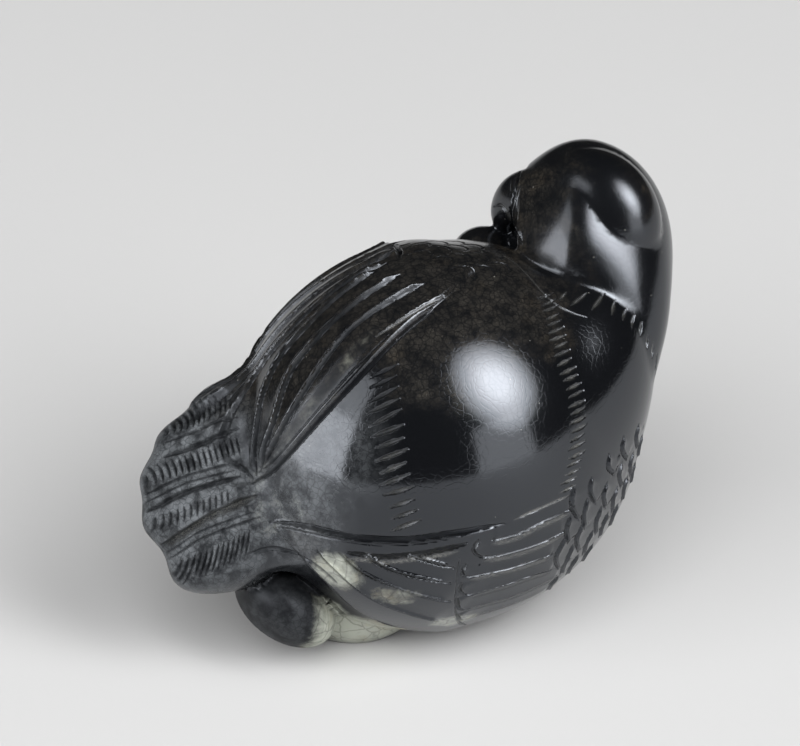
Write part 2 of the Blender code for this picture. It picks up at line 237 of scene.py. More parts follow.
def birdGap(p):
    # distance to the uncarved stone, negative inside
    melts = bird["melts"]
    neck = neckGap(p)
    skull = within(ballGap(p, mass["skull"]), ballGap(p, mass["cheek"]) - bird["cheekStandsOut"], melts["cheek"])
    skull = within(skull, (p - cheekEnd) @ cheekOut, melts["cheekEnd"])
    skull = melt(neck, skull, melts["skull"]) + bird["hoodShrinks"]
    head = melt(within(skull, (p - hoodEdge) @ hoodOut, melts["hoodEdge"]), faceGap(p), melts["face"])
    footHollow = ballGap(p, mass["footHollow"])
    trunk = hollowOut(ballGap(p, mass["body"]), footHollow, melts["footHollow"])
    trunk = hollowOut(trunk, ballGap(p, mass["shoulderHollow"]), melts["shoulderHollow"])
    trunk = melt(trunk, ballGap(p, mass["breast"]), melts["breast"])
    trunk = melt(trunk, neck + bird["neckSinks"], melts["neckFoot"])
    tail = ballGap(p, mass["tailCore"])
    for feather in mass["tailFeathers"]:
        tail = melt(tail, ballGap(p, feather), melts["feather"])
    whole = melt(trunk, head, melts["head"])
    whole = melt(whole, ballGap(p, mass["fruit"]), melts["fruit"])
    whole = melt(whole, tail, melts["tail"])
    whole = hollowOut(whole, footHollow, melts["footHollow"])
    for name in ("foot", "thigh", "farFoot", "farThigh"):
        whole = melt(whole, ballGap(p, mass[name]), melts["foot"])
    return whole


aroundPoint = np.array(((1, 1, 1), (1, -1, -1), (-1, 1, -1), (-1, -1, 1)), float)


def outOfStone(p, reach=0.04):
    # the way out of the stone, from the distance at four corners around each point
    slope = sum(birdGap(p + reach * corner)[:, None] * corner for corner in aroundPoint)
    return slope / (np.linalg.norm(slope, axis=1)[:, None] + 1e-12)


def ease(x):
    x = np.clip(x, 0, 1)
    return x * x * (3 - 2 * x)


# Rough blank: balls for all the masses, melted into one closed skin.
def shapeObject(name, shape):
    mesh = bpy.data.meshes.new(name)
    shape.to_mesh(mesh)
    shape.free()
    thing = bpy.data.objects.new(name, mesh)
    bpy.context.scene.collection.objects.link(thing)
    return thing


def finishedShape(thing):
    bpy.context.view_layer.update()
    graph = bpy.context.evaluated_depsgraph_get()
    mesh = bpy.data.meshes.new_from_object(thing.evaluated_get(graph))
    old = thing.data
    bpy.data.objects.remove(thing)
    bpy.data.meshes.remove(old)
    shape = bmesh.new()
    shape.from_mesh(mesh)
    bpy.data.meshes.remove(mesh)
    return shape


def ballsObject(name, masses):
    shape = bmesh.new()
    for centre, halfSizes, turned in masses:
        place = Matrix.Translation(Vector(centre)) @ Matrix(turned.T).to_4x4()
        bmesh.ops.create_icosphere(shape, subdivisions=4, radius=1.0,
                                   matrix=place @ Matrix.Diagonal((*halfSizes, 1.0)))
    return shapeObject(name, shape)


def limbBalls(joints):
    return [(place, (radius, radius, radius), np.eye(3)) for place, radius in joints]


def skinnedShape(thing, spacing):
    skin = thing.modifiers.new("skin", "REMESH")
    skin.mode, skin.voxel_size = "VOXEL", spacing
    return finishedShape(thing)


def cutBall(name, others, operation):
    # one mass with others cut out of it, or kept only where it lies within them
    ball = ballsObject(name, [mass[name]])
    tools = [ballsObject(other, [mass[other]]) for other in others]
    for tool in tools:
        cut = ball.modifiers.new(tool.name, "BOOLEAN")
        cut.operation, cut.object = operation, tool
    shape = finishedShape(ball)
    for tool in tools:
        bpy.data.objects.remove(tool)
    return shape


def cutOff(shape, place, out):
    # takes away everything beyond a plane, and closes the hole
    cut = bmesh.ops.bisect_plane(shape, geom=shape.verts[:] + shape.edges[:] + shape.faces[:], dist=1e-5,
                                 plane_co=place, plane_no=out, clear_outer=True)
    rim = [part for part in cut["geom_cut"] if isinstance(part, bmesh.types.BMEdge)]
    bmesh.ops.holes_fill(shape, edges=rim)


def joined(parts, name):
    whole = bmesh.new()
    for part in parts:
        mesh = bpy.data.meshes.new("part")
        part.to_mesh(mesh)
        whole.from_mesh(mesh)
        bpy.data.meshes.remove(mesh)
        part.free()
    return shapeObject(name, whole)


def roughHood(spacing):
    neck = finishedShape(ballsObject("neck", limbBalls(limb["neck"]) + [mass["neckFront"], mass["neckLow"]]))
    skull = cutBall("skull", ["cheek"], "INTERSECT")
    cutOff(skull, cheekEnd, cheekOut)
    hood = skinnedShape(joined((neck, skull), "hood"), spacing)
    cutOff(hood, hoodEdge, hoodOut)
    bmesh.ops.triangulate(hood, faces=hood.faces)
    return hood


def roughBlank():
    spacing = bird["skinSpacing"]
    names = ("breast", "face", "fruit", "foot", "thigh", "farFoot", "farThigh", "tailCore")
    masses = [mass[name] for name in names] + mass["tailFeathers"]
    masses += limbBalls(limb["upperBeak"]) + limbBalls(limb["lowerBeak"])
    trunk = cutBall("body", ("shoulderHollow", "footHollow"), "DIFFERENCE")
    parts = (finishedShape(ballsObject("masses", masses)), trunk, roughHood(spacing))
    return skinnedShape(joined(parts, "whole"), spacing)


def placesOf(shape):
    return np.array([v.co for v in shape.verts])


def pullOntoStone(p, steps=3):
    for _ in range(steps):
        p = p - outOfStone(p) * np.clip(birdGap(p), -0.8, 0.8)[:, None]
    return p


def evenOut(shape, rounds=5):
    # pulls the points onto the stone and spreads them evenly over it
    p = placesOf(shape)
    count = len(p)
    ends = np.array([[v.index for v in edge.verts] for edge in shape.edges])
    links = np.bincount(ends.ravel(), minlength=count)[:, None]
    for _ in range(rounds):
        p = pullOntoStone(p, 2)
        total = np.stack([np.bincount(ends[:, 0], p[ends[:, 1], i], count)
                          + np.bincount(ends[:, 1], p[ends[:, 0], i], count) for i in range(3)], 1)
        drift = total / links - p
        out = outOfStone(p)
        p = p + 0.6 * (drift - out * (drift * out).sum(1)[:, None])
    return pullOntoStone(p)


def putPlaces(shape, p):
    for vertex, place in zip(shape.verts, p):
        vertex.co = place


# The carving is laid out on a chart of the back: arc lengths forward and to the
# left of its middle, as if paper were smoothed over the body.
chartArc = 22.0  # chart millimetres to a radian


def backChart(p):
    q = (p - bird["bodyCentre"]) / bird["bodyRadii"]
    q = q / (np.linalg.norm(q, axis=1)[:, None] + 1e-9)
    along, aside = q @ forwardWay, q @ leftWay
    arc = chartArc * np.arccos(np.clip(q @ backWay, -1, 1)) / (np.hypot(along, aside) + 1e-9)
    return np.stack([along * arc, aside * arc], 1)


def flatChart(p, across, up):
    q = p - bird["bodyCentre"]
    return np.stack([q @ across, q @ up], 1)


def followLine(places, line):
    # for each place: how far off the line, on which side, and how far along
    gap = np.full(len(places), 1e3)
    side = np.zeros(len(places))
    travelled = np.zeros(len(places))
    done = 0.0
    for a, b in zip(line[:-1], line[1:]):
        step = b - a
        length = np.hypot(*step) + 1e-9
        t = np.clip(((places - a) @ step) / length ** 2, 0, 1)
        off = places - (a + t[:, None] * step)
        distance = np.hypot(off[:, 0], off[:, 1])
        nearer = distance < gap
        gap[nearer] = distance[nearer]
        side[nearer] = np.sign(step[0] * off[:, 1] - step[1] * off[:, 0])[nearer]
        travelled[nearer] = (done + t * length)[nearer]
        done += length
    return gap, side, travelled, done


def inside(places, outline):
    x, y = places.T
    found = np.zeros(len(places), bool)
    for (xa, ya), (xb, yb) in zip(outline[:-1], outline[1:]):
        crosses = (ya > y) != (yb > y)
        found ^= crosses & (x < xa + (y - ya) * (xb - xa) / (yb - ya + 1e-12))
    return found


def cut(points, wide, deep, taper=1.5, lip=0.0, lipSide=1, shingle=0.0, reach=1.5, dust=0.0, steps=4):
    # one groove: half width and depth, how long its ends take to run out, a raised lip
    # on one side, a feather edge that stands over the next one, and the dust it holds
    return {"line": sweep(points, steps), "wide": wide, "deep": deep, "taper": taper, "lip": lip,
            "lipSide": lipSide, "shingle": shingle, "reach": reach, "dust": dust}


def freshRelief(count):
    # height of the carving, its dust, how polished it is (less polish is also painted darker, as shade), and how
    # far the nearest cut is
    return {"height": np.zeros(count), "dust": np.zeros(count), "polish": np.ones(count),
            "near": np.full(count, 9.0)}


# The section of every groove. Widths are in half widths of the groove.
groove = {
    "endWide": 0.5,    # the share of its width that a groove keeps at its ends
    "endDeep": 0.35,
    "endDust": 0.3,
    "lipAt": 1.3,
    "lipWide": 0.45,
    "dustWide": 1.15,
    "edgeSoft": 0.36,  # mm that the step of a feather's edge takes
    "wornAndShaded": 0.9,       # how much of the polish the tool took; the groove's colour is also darkened by it, as painted shade
}


def atEnds(share, ends):
    return share + (1 - share) * ends


def carve(places, cuts, on, relief):
    for one in cuts:
        line = one["line"]
        edge = max(one["wide"] + 1.0, 3 * one["reach"] if one["shingle"] else 0.0)
        low, high = line.min(0) - edge, line.max(0) + edge
        near = np.flatnonzero(((places > low) & (places < high)).all(1) & (on > 0.02))
        if not len(near):
            continue
        gap, side, travelled, total = followLine(places[near], line)
        ends = ease(np.minimum(travelled, total - travelled) / one["taper"] + 0.02)
        across = gap / (one["wide"] * atEnds(groove["endWide"], ends))
        here = on[near]
        change = -one["deep"] * np.clip(1 - across ** 2, 0, 1) ** 1.5 * atEnds(groove["endDeep"], ends)
        if one["lip"]:
            off = (side * one["lipSide"] * across - groove["lipAt"]) / groove["lipWide"]
            change += one["lip"] * ends * np.exp(-off ** 2)
        if one["shingle"]:
            past = side * one["lipSide"] * gap
            slant = np.exp(-np.clip(past, 0, None) / one["reach"]) * ease(0.5 + past / groove["edgeSoft"])
            change += one["shingle"] * ends * slant
        relief["height"][near] += change * here
        dust = one["dust"] * np.clip(groove["dustWide"] - across, 0, 1) * atEnds(groove["endDust"], ends) * here
        relief["dust"][near] = np.maximum(relief["dust"][near], dust)
        # less polish in the groove: duller, and painted shade darkens its colour
        wornAndShaded = groove["wornAndShaded"] * np.clip(1.5 - 1.4 * across, 0, 1) * here
        relief["polish"][near] = np.minimum(relief["polish"][near], 1 - wornAndShaded)
        relief["near"][near] = np.minimum(relief["near"][near], gap - one["wide"])


# Wings: outlines from the tip over the tail, forward along the edge towards the
# middle of the back, then round the shoulder and back along the flank.
wings = {
    "leftRise": 0.55,  # above the back
    "rightRise": 0.4,
    "edgeWide": 0.7,
    "leftWorn": 0.12,  # how much duller than the back, and darker by painted shade
    "rightWorn": 0,
    "leftSinks": (1, 7),  # forward of this the wings sink back into the body
    "rightSinks": (-9, -3),
    "leftBand": sweep([(-30.6, 2), (-27, 4.1), (-20.5, 8), (-14.5, 12), (-11, 13.8)]),
    "leftOutline": sweep([
        (-31.5, 1.4), (-26.4, 3), (-17.6, 7.8), (-8.7, 12.6), (-2.8, 15.1), (3, 18), (7, 23), (6, 30), (-2, 35),
        (-14, 36), (-24, 31), (-31, 23), (-34.5, 14), (-34, 6)], closed=True),
    "rightOutline": sweep([
        (-30, -5.5), (-24.8, -7.6), (-20, -9.9), (-14.5, -11.5), (-8.7, -12.4), (-3.8, -13.1), (2.9, -12.6),
        (7, -11.5), (12, -12.5), (14.5, -17), (14, -24), (9, -31), (0, -35), (-9, -34), (-15, -30.7),
        (-20.9, -25.1), (-25.3, -16.8), (-27.5, -13), (-28.7, -9.6)], closed=True),
}


def leftWingCuts():
    cuts = [
        # edge towards the back, a dark line with a second one beside it
        cut([(-31.2, 1.2), (-26.4, 2.8), (-17.6, 7.5), (-8.7, 12.3), (-4, 14.2)], 0.34, 0.5, 2),
        cut([(-30, 2.6), (-26.4, 3.7), (-21, 6.6), (-14.5, 10.3), (-9.5, 12.8)], 0.16, 0.12, 2),
        cut([(-11, 13.1), (-6.5, 14.3), (-2.3, 15.3)], 0.3, 0.28, 2.5, dust=0.5),
        # the outer feathers' edges
        cut([(-32.6, 4.4), (-32.9, 10), (-29.8, 16.7), (-24.4, 20.6), (-17.2, 23.1), (-9, 25.2)], 0.22, 0.14, 3),
        cut([(-33, 5.5), (-33.4, 12), (-29.5, 18.8), (-22.5, 23), (-14, 25.6), (-3, 26.4)],
            0.55, 0.8, 2, lip=0.15, shingle=0.2, reach=1.2),
        # the outer blade's upper end stands over the shoulder
        cut([(-3.2, 24.8), (-2.2, 27), (-1.4, 29.5), (-1.2, 33)], 0.55, 0.6, shingle=0.5, reach=3),
    ]
    # flight feathers, which all run to the tip: line, half width, depth, and the edge's rise and reach
    feathers = (
        ([(-28.8, 3.4), (-27.3, 4.7), (-22, 9.3), (-15.7, 14.2), (-12.2, 16), (-7.5, 17.2), (-3, 18)],
         0.3, 0.42, 0.42, 1.5),
        ([(-29.6, 2.8), (-28, 5.4), (-25.7, 8.2), (-22.2, 13.4), (-18.8, 15.9), (-13.7, 18.4), (-8.5, 20),
          (-5, 20.9)], 0.3, 0.45, 0.42, 1.5),
        ([(-30.4, 2.3), (-29.7, 5.4), (-27.1, 12), (-24.9, 15.1), (-22, 17.8), (-18.6, 19.4), (-13, 21.9),
          (-6.6, 23.9)], 0.3, 0.45, 0.42, 1.5),
        ([(-30.9, 1.8), (-31.4, 3.6), (-32.2, 8), (-29.7, 14.8), (-26.2, 18.3), (-20.5, 20.9), (-14, 23.2),
          (-5, 24.6)], 0.28, 0.4, 0.36, 1.3),
    )
    for line, wide, deep, rise, reach in feathers:
        cuts.append(cut(line, wide, deep, 2, lip=0.12, shingle=rise, reach=reach))
    # the outer side, which only the far side shows
    for k in range(4):
        cuts.append(cut([(-33.0 + 1.5 * k, 17.0 + 2.6 * k), (-24.0 + k, 26.0 + 2.4 * k),
                         (-12.0 + k, 28.5 + 2.6 * k), (0.0 + k, 28.0 + 2.8 * k)], 0.4, 0.4, 3, lip=0.12,
                        shingle=0.12, reach=1.1))
    return cuts


def rightWingCuts():
    cuts = [
        # deep line along the back, and the second one under the first feathers
        cut([(-30.5, -5.3), (-25, -7.4), (-20, -9.8), (-14.5, -11.5), (-9.8, -12.1), (-3, -12.9)],
            0.32, 0.5, 3, lip=0.06, lipSide=-1),
        cut([(-30, -6.2), (-25, -8.2), (-19.5, -10.6), (-14, -12.1), (-8, -12.7)], 0.18, 0.16, 4),
        cut([(-21, -11.7), (-17, -13.1), (-12.8, -13.7), (-7.5, -13.9)], 0.4, 0.6, 2, dust=0.1),
        cut([(-21, -12.5), (-17, -13.9), (-12.8, -14.4), (-8.5, -14.6)], 0.35, 0.08, dust=0.5),
        # the wing's lower edge
        cut([(-28.7, -9.8), (-27.3, -13.2), (-25.2, -17), (-23.4, -21.2), (-20.9, -25), (-17.7, -27.8),
             (-13.5, -31.3), (-8, -34)], 0.36, 0.45, 1.2, dust=0.2),
        # where the long feathers come from under the short ones
        cut([(-8.3, -15.6), (-8.6, -18.5), (-8.6, -23), (-7.6, -28), (-5, -32.5)], 0.25, 0.18, 1.2),
    ]
    # flight feathers, from the upper one down: line, half width, depth, rise, reach and dust
    feathers = (
        ([(-14, -13.9), (-12.2, -14.9), (-9, -16.9)], 0.32, 0.45, 0.26, 1.1, 0.2),
        ([(-19.3, -12.3), (-16.8, -14.9), (-14, -16.8), (-9.4, -19.2)], 0.32, 0.45, 0.26, 1.1, 0.2),
        ([(-22, -11.7), (-19.9, -14.9), (-17.1, -17.5), (-14, -19.9), (-9.3, -22.7)], 0.32, 0.48, 0.3, 1.2, 0.2),
        ([(-25, -10.9), (-23.2, -14.2), (-21.2, -17.6), (-18.6, -20.8), (-15.2, -23.7), (-10.4, -27.3)],
         0.34, 0.5, 0.3, 1.3, 0.15),
    )
    for line, wide, deep, rise, reach, dust in feathers:
        cuts.append(cut(line, wide, deep, 1.8, lip=0.2, shingle=rise, reach=reach, dust=dust))
    # short feathers: strips with round ends, a dusty band under each line
    cuts.append(cut([(-1.9, -12.7), (1.1, -12.3), (5.3, -12)], 0.22, 0.1, dust=0.6))
    strips = (
        [(-4.5, -14.5), (-1.6, -14.7), (2, -14.1), (5.6, -13.9)],
        [(-6.1, -13.9), (-6.7, -15.2), (-5.5, -16.5), (-2.6, -17.1), (1.4, -17.1), (5, -16.7)],
        [(-7.6, -16.8), (-8.1, -17.9), (-7, -18.9), (-2.6, -19.5), (1.2, -19.6), (3.9, -19.6)],
        [(-8.1, -19.5), (-8.1, -21.1), (-6.5, -22.2), (-2.1, -22.4), (1.5, -22.2), (4.6, -22.6)],
        [(-8.4, -22.1), (-8, -24.4), (-6.6, -25.2), (-1.3, -25.5), (3.7, -25.1), (6.7, -24.9)],
        [(-8, -26), (-6.9, -28.3), (-5.1, -28.3), (-2.4, -28), (3, -27.7), (6.5, -27.4)],
    )
    for k, strip in enumerate(strips):
        cuts.append(cut(strip, 0.28, 0.38, 0.6, shingle=0.26, reach=1.1, dust=0.08))
        band = [(u, v - 0.55) for u, v in strip[-4:]]
        cuts.append(cut(band, 0.4, 0.06, 1, dust=0.38 if k < 3 else 0.2))
    # long scales on the shoulder: from each one's top, round its back, to its point
    scales = (
        ((5.9, -11.2), (5.6, -13.4), (7.2, -15.9)), ((5.7, -14.8), (5.3, -16.5), (6.1, -18.8)),
        ((5.4, -17.8), (4.6, -20.4), (6.2, -23.3)), ((8.7, -10.8), (8.5, -12.6), (9.9, -14.7)),
        ((8.2, -13.4), (7.8, -15.2), (8.5, -17.6)), ((7.9, -16.9), (7.6, -19), (9.2, -21.6)),
        ((7.2, -19.6), (6.9, -22.5), (7.7, -25.2)), ((11.9, -8.9), (11.7, -10.4), (13.3, -12)),
        ((11.8, -12.4), (11.2, -14), (12.4, -16.2)), ((11.3, -15.5), (10.8, -17.4), (11.9, -20)),
        ((10.8, -18.8), (10.2, -20.6), (11.2, -23.2)), ((14.7, -7.4), (14.5, -9), (16.2, -10.8)),
        ((15, -10.8), (14.4, -12.3), (15.9, -14.4)), ((14.6, -13.9), (13.9, -15.4), (15, -17.9)),
        ((13.6, -17.2), (13, -19), (14.1, -21.5)), ((18, -6.6), (17.7, -8.2), (19.2, -10)),
        ((18.1, -10.2), (17.5, -11.8), (18.9, -13.8)), ((17.7, -13.4), (17, -15), (18.2, -17.4)),
        ((9.6, -22.4), (9.2, -24.4), (10.4, -27)), ((12.8, -21.9), (12.3, -23.8), (13.6, -26.2)),
        ((16.6, -17), (16, -18.8), (17.2, -21.2)), ((20.6, -8.4), (20.3, -10), (21.6, -12)),
        ((20.5, -12), (19.9, -13.6), (21.2, -15.8)), ((7.4, -25.4), (7, -27.2), (8.2, -29.6)),
    )
    for top, back, point in scales:
        cuts.append(cut([top, back, point], 0.24, 0.32, 0.7, shingle=0.34, reach=0.9))
    return cuts


def backCuts():
    cuts = []
    random = np.random.default_rng(7)

    def tickRow(points, count, length, slope, wide, deep, dustFrom, dustTo):
        run = sweep(points, 12)
        lengths = np.r_[0, np.cumsum(np.hypot(*np.diff(run, axis=0).T))]
        for k in range(count):
            at = lengths[-1] * (k + 0.5) / count
            middle = np.array([np.interp(at, lengths, run[:, i]) for i in range(2)])
            middle = middle + random.normal(0, 0.07, 2)
            half = 0.5 * length * random.uniform(0.85, 1.12)
            way = unitVector((1, slope + random.normal(0, 0.05)))
            held = dustFrom + (dustTo - dustFrom) * k / count
            cuts.append(cut([middle - way * half, middle + way[::-1] * (0.03, -0.03), middle + way * half],
                            wide * random.uniform(0.85, 1.1), deep * random.uniform(0.8, 1.1), 0.45 * length,
                            dust=held * random.uniform(0.5, 1.1), steps=2))

    # tool marks that stand for small feathers: a row over the shoulders and one over the rump
    tickRow([(9.9, 12.3), (8.6, 8), (7.7, 3.5), (7.9, -1.4), (6.7, -6.9), (5.4, -10.1), (5, -11.6)], 25, 2.3,
            0.16, 0.24, 0.2, 0.3, 0.6)
    tickRow([(-11.3, 9.6), (-13, 4.8), (-13.3, 1.5), (-13.9, -3.1), (-13.7, -6.4), (-13.7, -10.6)], 14, 3.4,
            0.12, 0.33, 0.26, 0, 0.45)
    # small feathers cut where the left wing meets the shoulder
    for row, (left, forwards) in enumerate(((26.3, (0.6, 3.2, 6)), (23.8, (-0.6, 2, 4.6, 7.2)),
                                            (21, (0.6, 3.2, 5.8, 8.2)), (18, (1.9, 4.5, 7)))):
        for ahead in forwards:
            cuts.append(cut([(ahead - 1.4, left + 0.9), (ahead + 0.1, left + 0.9), (ahead + 1.1, left + 0.2),
                             (ahead + 1, left - 0.9), (ahead + 0.1, left - 1.5)], 0.22, 0.14,
                            dust=0.0 if row else 0.2))
    # the rim of the hollow that the head lies in
    rim = [(7.5, 22.6), (9.4, 20.5), (9.7, 16.5), (9.7, 12.8), (10.3, 10.1), (11.3, 8.5), (12.4, 7.3)]
    cuts.append(cut(rim, 0.18, 0.1, 3, dust=0.15))
    # the ledge over the foot
    cuts.append(cut([(-32.5, -9.4), (-32.1, -8.5), (-30.8, -9), (-29, -10.9), (-25.9, -13.2), (-23.5, -16.8)],
                    0.3, 0.22))
    return cuts


def collarCuts():
    # tool marks round the foot of the neck
    marks = (((12.3, 11.4), (10.9, 10.7)), ((14, 10.2), (11.7, 9.5)), ((15.3, 9.2), (13.3, 8)),
             ((16, 8), (14.9, 6.6)), ((16.8, 6.7), (15.9, 5.6)), ((17.4, 5.7), (16.8, 4.5)),
             ((18.1, 4.7), (17.8, 3.4)), ((18.8, 3.3), (18.7, 1.8)), ((19.6, 2.3), (19.7, 0.7)),
             ((20.6, 1), (20.9, -0.7)), ((21.5, -0.4), (22, -2.1)))
    return [cut([top, end], 0.24, 0.24, 0.8, dust=0.3, steps=2) for top, end in marks]


def tailCuts():
    cuts = [
        # between the feathers
        cut([(-24.6, 7.3), (-28.6, 7), (-32.4, 6.8)], 0.36, 0.45),
        cut([(-26, 2.2), (-31.7, 2.3), (-35.6, 1.4)], 0.36, 0.45),
        cut([(-25.4, -0.4), (-28.6, -0.9), (-31.1, -1.4), (-35.2, -3)], 0.6, 0.75, dust=0.2),
        # quills, each a strip between two lines
        cut([(-24.2, 8.5), (-28, 8.6), (-31.5, 8.3)], 0.2, 0.2),
        cut([(-26, 3.9), (-31.9, 4), (-35.4, 3.2)], 0.2, 0.2),
        cut([(-26.4, 3.1), (-31.9, 3.2), (-35.4, 2.4)], 0.16, 0.12),
        cut([(-25.4, -2.8), (-31.4, -3.2), (-34.4, -4.4)], 0.2, 0.2),
        cut([(-25.4, -2), (-31.4, -2.4), (-34.4, -3.6)], 0.16, 0.12),
    ]

    def barbs(start, end, count, slant, length, deep):
        start, end = np.asarray(start, float), np.asarray(end, float)
        for k in range(count):
            root = start + (end - start) * (k + 0.5) / count
            tip = root + np.asarray(slant, float) * length
            cuts.append(cut([root, tip], 0.18, deep, 0.3 * length, steps=2))

    barbs((-23, 9.3), (-32, 9), 15, (0.55, 0.83), 2.5, 0.4)
    barbs((-25.2, 4.6), (-35.2, 4.2), 16, (0.16, 0.98), 2, 0.42)
    barbs((-27.6, 1.2), (-35.6, 0.5), 12, (-0.25, -0.96), 1.6, 0.26)
    barbs((-26.4, -3.8), (-34.6, -5.2), 14, (-0.38, -0.92), 3, 0.34)
    return cuts


def headCuts():
    # the hood's edge beside the face, the ring round the eye and the fold under the cheek
    return [
        cut([(9.7, 30.6), (9.54, 30.1), (9.14, 28.4), (8.74, 26.6), (8.62, 25.3), (8.97, 23.5), (9.6, 21.9)],
            0.26, 0.4, lip=0.2, shingle=0.25, reach=1),
        cut([(9.15, 29.7), (8.85, 29.2), (8.75, 28.4), (8.95, 27.4)], 0.14, 0.16, 0.6),
        cut([(8.5, 29.3), (8.3, 28.6), (8.4, 27.7)], 0.1, 0.1, 0.6),
        cut([(6.6, 26.3), (7.3, 26.4), (8, 25.6), (8.4, 24.6)], 0.22, 0.3, 0.8, dust=0.2),
    ]


# Where the carving begins to show, and over how much more it comes up to its full depth:
# millimetres, and for the two that face somewhere, how squarely they do.
fades = {
    "tail": (23.0, 1.5),
    "tailFacing": (0.05, 0.15),
    "body": (-28.5, 2.0),
    "skull": (0.0, 0.6),
    "fruit": (0.0, 0.6),
    "foot": (0.0, 0.5),
    "face": (38.0, 1.0),
    "faceFacing": (0.1, 0.2),
}


def fade(name, value):
    start, reach = fades[name]
    return ease((value - start) / reach)


def reliefOf(p, out):
    places = backChart(p)
    relief = freshRelief(len(p))
    onTail = fade("tail", (bird["bodyCentre"] - p) @ forwardWay) * fade("tailFacing", out @ backWay)
    offSkull, offFruit, offFoot = (fade(name, ballGap(p, mass[name])) for name in ("skull", "fruit", "foot"))
    onBody = fade("body", p[:, 0]) * offSkull * offFruit * offFoot
    for side, cuts in (("left", leftWingCuts()), ("right", rightWingCuts())):
        outline = wings[side + "Outline"]
        start, end = wings[side + "Sinks"]
        sinks = 1 - ease((places[:, 0] - start) / (end - start))
        near = np.flatnonzero(((places > outline.min(0) - 3) & (places < outline.max(0) + 3)).all(1))
        gap = followLine(places[near], outline)[0]
        depthIn = np.where(inside(places[near], outline), gap, -gap)
        onWing = ease(0.5 + depthIn / wings["edgeWide"])
        step = wings[side + "Rise"] * (onBody * sinks)[near]
        relief["height"][near] += step * onWing
        relief["near"][near] = np.where(step > 0.05, np.abs(depthIn) - 0.4 * wings["edgeWide"], 9.0)
        # the wing is duller, and painted shade darkens its colour by the same amount
        wornAndShaded = wings[side + "Worn"] * onWing * (onBody * sinks)[near]
        relief["polish"][near] = np.minimum(relief["polish"][near], 1 - wornAndShaded)
        carve(places, cuts, onBody, relief)
    carve(places, backCuts(), onBody, relief)
    carve(places, collarCuts(), offFoot, relief)
    # the tail's cuts are laid out as seen from above it, and the head's as the camera sees them
    carve(flatChart(p, forwardWay, leftWay), tailCuts(), onTail, relief)
    across, up = unitVector(viewAcross), unitVector(viewUp)
    onFace = fade("face", p[:, 2]) * fade("faceFacing", out @ np.cross(across, up))
    carve(flatChart(p, across, up), headCuts(), onFace, relief)
    return relief


def refine(shape, wanted, close):
    # splits the edges that are longer than wanted, near the cuts and along creases
    shape.verts.ensure_lookup_table()
    p = placesOf(shape)
    out = outOfStone(p)
    chosen = reliefOf(p, out)["near"] < close
    creased = math.cos(math.radians(bird["crease"]))
    edges = []
    for edge in shape.edges:
        a, b = edge.verts
        i, j = a.index, b.index
        if (chosen[i] or chosen[j] or out[i] @ out[j] < creased) and edge.calc_length() > wanted * 1.35:
            edges.append(edge)
    before = len(shape.verts)
    bmesh.ops.subdivide_edges(shape, edges=edges, cuts=1, use_grid_fill=True)
    shape.verts.index_update()
    p = placesOf(shape)
    p[before:] = pullOntoStone(p[before:], 2)
    putPlaces(shape, p)
    print("refined to", wanted, "mm:", len(shape.verts), "points")


def stoneZones(p):
    # where the stone is brown, pale, grey or left matte: soft blobs, each with its middle, half
    # sizes and strength
    zones = {
        "brown": (((-2, 0, 51), (20, 29, 15.5), 1), ((-16, 5, 38), (15, 11, 10), 1),
                  ((-20, -5, 34.5), (6, 3.5, 6), 0.9), ((20, 4, 50), (14, 14, 12), 0.42),
                  ((-22, -8.5, 22), (3, 3, 3), 0.8), ((-5, -10, 41), (9, 8, 9), 0.75)),
        "pale": (((-13, -5.5, 4.5), (6.5, 6.5, 4.5), 1), ((-19, -5.4, 7.2), (3.4, 4.4, 4.6), 0.95),
                 ((-19.8, -11.5, 17.5), (3.2, 3, 3), 0.8), ((-14.3, -15.2, 14.6), (3.6, 2.4, 1.8), 0.55),
                 ((-6.8, -15.2, 8.4), (3.4, 2.4, 1.8), 0.65), ((-24.5, -6, 24), (4, 5, 5), 0.3),
                 ((-14, 10, 8), (7, 6, 6), 0.7)),
        "grey": (((-34, 3, 24), (11.5, 15, 12), 1), ((-24, -7, 25), (7, 6, 8), 0.75),
                 ((-18, -9, 31), (6, 5, 6), 0.35), ((-23, -4, 7), (6, 7, 6), 0.3)),
        "matte": (((-34, 3, 24), (11.5, 15, 12), 1), ((-13, -6, 5), (8, 8, 5), 0.5),
                  ((-21, -4, 7), (8, 8, 7), 1.5), ((-24.5, -6, 23), (5, 5, 6), 0.45),
                  ((20, 3, 46), (13, 13, 13), 0.25)),
    }
    values = {}
    for name, blobs in zones.items():
        value = np.zeros(len(p))
        for middle, halfSizes, strength in blobs:
            q = np.sqrt((((p - middle) / halfSizes) ** 2).sum(1))
            value = np.maximum(value, strength * ease(1.5 - q))
        values[name] = value
    # the band inside the left wing's edge kept its brown skin
    band = ease(1.5 - followLine(backChart(p), wings["leftBand"])[0] / 0.9)
    for name, strength in (("brown", 1.0), ("pale", 0.3), ("matte", 0.7)):
        values[name] = np.maximum(values[name], strength * band)
    return values


